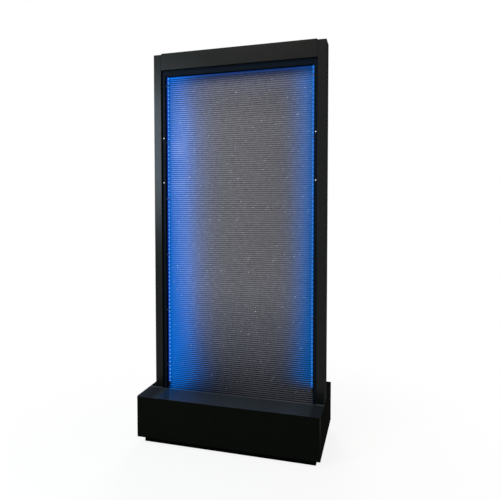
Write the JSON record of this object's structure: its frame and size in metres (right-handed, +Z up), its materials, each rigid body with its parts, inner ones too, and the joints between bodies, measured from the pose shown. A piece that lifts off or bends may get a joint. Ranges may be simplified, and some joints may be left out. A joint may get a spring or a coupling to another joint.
{
  "type": "water wall",
  "caption": "Floor-standing water wall: a side-lit ribbed panel in a black metal frame, over a black base that holds the reservoir and pump.",
  "frame": {"origin": "on the floor, at the middle of the base's footprint", "axes": "+X to the object's right as seen from the front, +Y to its back, +Z up"},
  "size_m": [1.13, 0.564, 2.438],
  "materials": {
    "black_metal": "satin",
    "black_trim": "satin",
    "black_board": "matte paint",
    "ribbed_sheet": "gloss",
    "blue_light": "gloss",
    "bright_steel": "bright",
    "zinc_steel": "satin",
    "aluminium": "satin",
    "black_plastic": "matte",
    "clear_plastic": "gloss",
    "tub_plastic": "satin",
    "pump_plastic": "satin",
    "rotor_plastic": "satin",
    "rubber": "matte",
    "grip_vinyl": "satin",
    "grey_pipe": "satin",
    "valve_brass": "cast",
    "valve_chrome": "polished",
    "ceramic": "ground"
  },
  "bodies": {
    "base": {"base_housing": "black_metal", "cable_gland": "black_plastic", "driver_bracket": "zinc_steel", "driver_end_caps": "black_plastic", "feed_elbow": "grey_pipe", "frame_deck": "black_metal", "header_housing": "black_metal", "header_screws": "zinc_steel", "left_light_strip": "blue_light", "left_panel_angle": "aluminium", "left_panel_gasket": "rubber", "left_panel_rest": "zinc_steel", "left_post": "black_metal", "left_post_cap": "black_plastic", "left_post_support": "zinc_steel", "left_side_strip": "black_trim", "light_clips": "clear_plastic", "light_connectors": "black_plastic", "light_driver": "aluminium", "pipe_coupling": "grey_pipe", "plinth": "black_board", "post_bolts": "zinc_steel", "pump_feet": "rubber", "pump_motor": "pump_plastic", "pump_shaft": "ceramic", "pump_volute": "pump_plastic", "rear_panel": "black_metal", "rear_panel_screws": "zinc_steel", "reservoir_tub": "tub_plastic", "rest_screws": "zinc_steel", "ribbed_panel": "ribbed_sheet", "right_light_strip": "blue_light", "right_panel_angle": "aluminium", "right_panel_gasket": "rubber", "right_panel_rest": "zinc_steel", "right_post": "black_metal", "right_post_cap": "black_plastic", "right_post_support": "zinc_steel", "right_side_strip": "black_trim", "riser_pipe": "grey_pipe", "shaft_bushes": "rubber", "spray_bar": "grey_pipe", "spray_bar_clips": "black_plastic", "spray_bar_plugs": "grey_pipe", "strip_screws": "bright_steel", "top_strip": "black_trim", "valve_body": "valve_brass"},
    "front_cover": {"front_ledge_cover": "black_metal"},
    "rear_lid": {"rear_cover": "black_metal"},
    "header_top": {"header_lid": "black_metal"},
    "strainer": {"strainer_cover": "pump_plastic"},
    "rotor": {"impeller": "rotor_plastic"},
    "valve": {"valve_lever": "bright_steel", "lever_grip": "grip_vinyl", "valve_ball": "valve_chrome"}
  },
  "joints": [
    {"name": "front_cover_lift", "type": "slide", "parent": "base", "child": "front_cover", "axis": [0, 0, 1], "range_m": [0, 0.15]},
    {"name": "rear_cover_lift", "type": "slide", "parent": "base", "child": "rear_lid", "axis": [0, 0, 1], "range_m": [0, 0.15]},
    {"name": "header_lid_lift", "type": "slide", "parent": "base", "child": "header_top", "axis": [0, 0, 1], "range_m": [0, 0.1]},
    {"name": "strainer_pull", "type": "slide", "parent": "base", "child": "strainer", "axis": [-1, 0, 0], "range_m": [0, 0.08]},
    {"name": "valve_turn", "type": "hinge", "parent": "base", "child": "valve", "pos_m": [0.4, -0.02, 0.211], "axis": [0, 1, 0], "range_deg": [0, 90]},
    {"name": "impeller_spin", "type": "hinge", "parent": "base", "child": "rotor", "pos_m": [0.42, -0.0425, 0.11], "axis": [1, 0, 0], "continuous": true}
  ]
}
